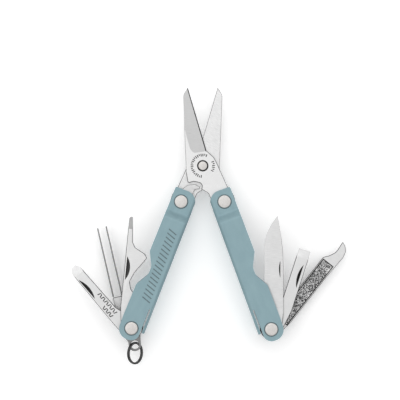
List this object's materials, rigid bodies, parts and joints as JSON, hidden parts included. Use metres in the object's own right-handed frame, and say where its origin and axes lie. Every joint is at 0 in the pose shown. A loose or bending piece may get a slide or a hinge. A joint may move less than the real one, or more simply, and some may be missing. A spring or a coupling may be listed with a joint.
{
  "type": "pocket scissors multi-tool",
  "caption": "Pocket multi-tool with folded coated steel handles, small spring-opened scissors, hinged knife, drivers, file, opener and tweezers, and a key ring.",
  "frame": {"origin": "centre of the bounding box in plan, on the plane that the object rests on", "axes": "+Z is the thickness, away from the resting plane; +Y runs from the handles' ends to the scissor tips; +X is to the right seen from above"},
  "size_m": [0.1096, 0.1106, 0.0125],
  "materials": {
    "coated_handle": "satin grey-teal coating on steel",
    "blade_steel": "fine ground stainless steel",
    "file_steel": "stainless steel with coarse file teeth",
    "spring_steel": "tumbled stainless steel",
    "rivet_steel": "polished rivet heads",
    "ring_steel": "polished wire"
  },
  "bodies": {
    "scissor_front": {"scissor_blade_front": "blade_steel", "scissor_pivot_rivet": "rivet_steel"},
    "scissor_back": {"scissor_blade_back": "blade_steel"},
    "spring_lever": {"scissor_spring": "spring_steel"},
    "right_handle": {"right_handle": "coated_handle", "right_scissor_rivet": "rivet_steel", "right_tool_rivet": "rivet_steel", "right_ear_spacer": "spring_steel", "right_middle_spacer": "spring_steel", "right_rear_spacer": "spring_steel"},
    "left_handle": {"left_handle": "coated_handle", "left_scissor_rivet": "rivet_steel", "left_tool_rivet": "rivet_steel", "left_front_washer": "spring_steel", "left_rear_washer": "spring_steel"},
    "bottle_opener": {"bottle_opener": "blade_steel"},
    "large_screwdriver": {"large_screwdriver": "blade_steel"},
    "tweezers": {"tweezers_base": "spring_steel"},
    "tweezers_outer_arm": {"tweezers_outer_arm": "spring_steel"},
    "tweezers_inner_arm": {"tweezers_inner_arm": "spring_steel"},
    "key_ring_bail": {"key_ring_bail": "spring_steel"},
    "split_ring": {"split_ring": "ring_steel"},
    "knife": {"knife_blade": "blade_steel"},
    "medium_screwdriver": {"medium_screwdriver": "blade_steel"},
    "nail_file": {"nail_file": "file_steel"}
  },
  "joints": [
    {"name": "scissors_close", "type": "hinge", "parent": "scissor_front", "child": "scissor_back", "pos_m": [-0.00263, 0.02413, 0.00625], "axis": [0, 0, 1], "range_deg": [0, 23], "stiffness_Nm_per_rad": 0.05, "springref_deg": -11.46},
    {"name": "scissor_spring_flex", "type": "hinge", "parent": "scissor_back", "child": "spring_lever", "pos_m": [-0.01128, 0.00982, 0.00625], "axis": [0, 0, 1], "range_deg": [0, 26]},
    {"name": "right_handle_fold", "type": "hinge", "parent": "scissor_front", "child": "right_handle", "pos_m": [0.00602, 0.00982, 0.00625], "axis": [0, 0, 1], "range_deg": [0, 165]},
    {"name": "left_handle_fold", "type": "hinge", "parent": "scissor_back", "child": "left_handle", "pos_m": [-0.01128, 0.00982, 0.00625], "axis": [0, 0, -1], "range_deg": [0, 165]},
    {"name": "bottle_opener_fold", "type": "hinge", "parent": "left_handle", "child": "bottle_opener", "pos_m": [-0.03094, -0.04047, 0.00625], "axis": [0, 0, -1], "range_deg": [-141.3, 15.7]},
    {"name": "large_screwdriver_fold", "type": "hinge", "parent": "left_handle", "child": "large_screwdriver", "pos_m": [-0.03094, -0.04047, 0.00625], "axis": [0, 0, -1], "range_deg": [-90, 62.3]},
    {"name": "tweezers_fold", "type": "hinge", "parent": "left_handle", "child": "tweezers", "pos_m": [-0.03094, -0.04047, 0.00625], "axis": [0, 0, -1], "range_deg": [-138.7, 34.3]},
    {"name": "tweezers_squeeze", "type": "hinge", "parent": "tweezers", "child": "tweezers_outer_arm", "pos_m": [-0.03852, -0.02847, 0.00625], "axis": [0, 0, -1], "range_deg": [0, 2.8], "stiffness_Nm_per_rad": 0.03, "springref_deg": -1.15},
    {"name": "tweezers_inner_flex", "type": "hinge", "parent": "tweezers", "child": "tweezers_inner_arm", "pos_m": [-0.03511, -0.02768, 0.00625], "axis": [0, 0, 1], "range_deg": [0, 2.8]},
    {"name": "bail_swing", "type": "hinge", "parent": "left_handle", "child": "key_ring_bail", "pos_m": [-0.03094, -0.04047, 0.00625], "axis": [0, 0, -1], "range_deg": [-8, 60]},
    {"name": "split_ring_swing", "type": "hinge", "parent": "key_ring_bail", "child": "split_ring", "pos_m": [-0.02969, -0.04737, 0.00625], "axis": [0, 0, -1], "range_deg": [-45, 45]},
    {"name": "knife_fold", "type": "hinge", "parent": "right_handle", "child": "knife", "pos_m": [0.0246, -0.04088, 0.00625], "axis": [0, 0, 1], "range_deg": [-159.9, 20.1]},
    {"name": "medium_screwdriver_fold", "type": "hinge", "parent": "right_handle", "child": "medium_screwdriver", "pos_m": [0.0246, -0.04088, 0.00625], "axis": [0, 0, 1], "range_deg": [-142.2, 37.8]},
    {"name": "nail_file_fold", "type": "hinge", "parent": "right_handle", "child": "nail_file", "pos_m": [0.0246, -0.04088, 0.00625], "axis": [0, 0, 1], "range_deg": [-121.7, 58.3]}
  ],
  "couplings": [
    {"joint": "scissor_spring_flex", "follows": "scissors_close", "ratio": 1.1},
    {"joint": "tweezers_inner_flex", "follows": "tweezers_squeeze", "ratio": 1}
  ]
}
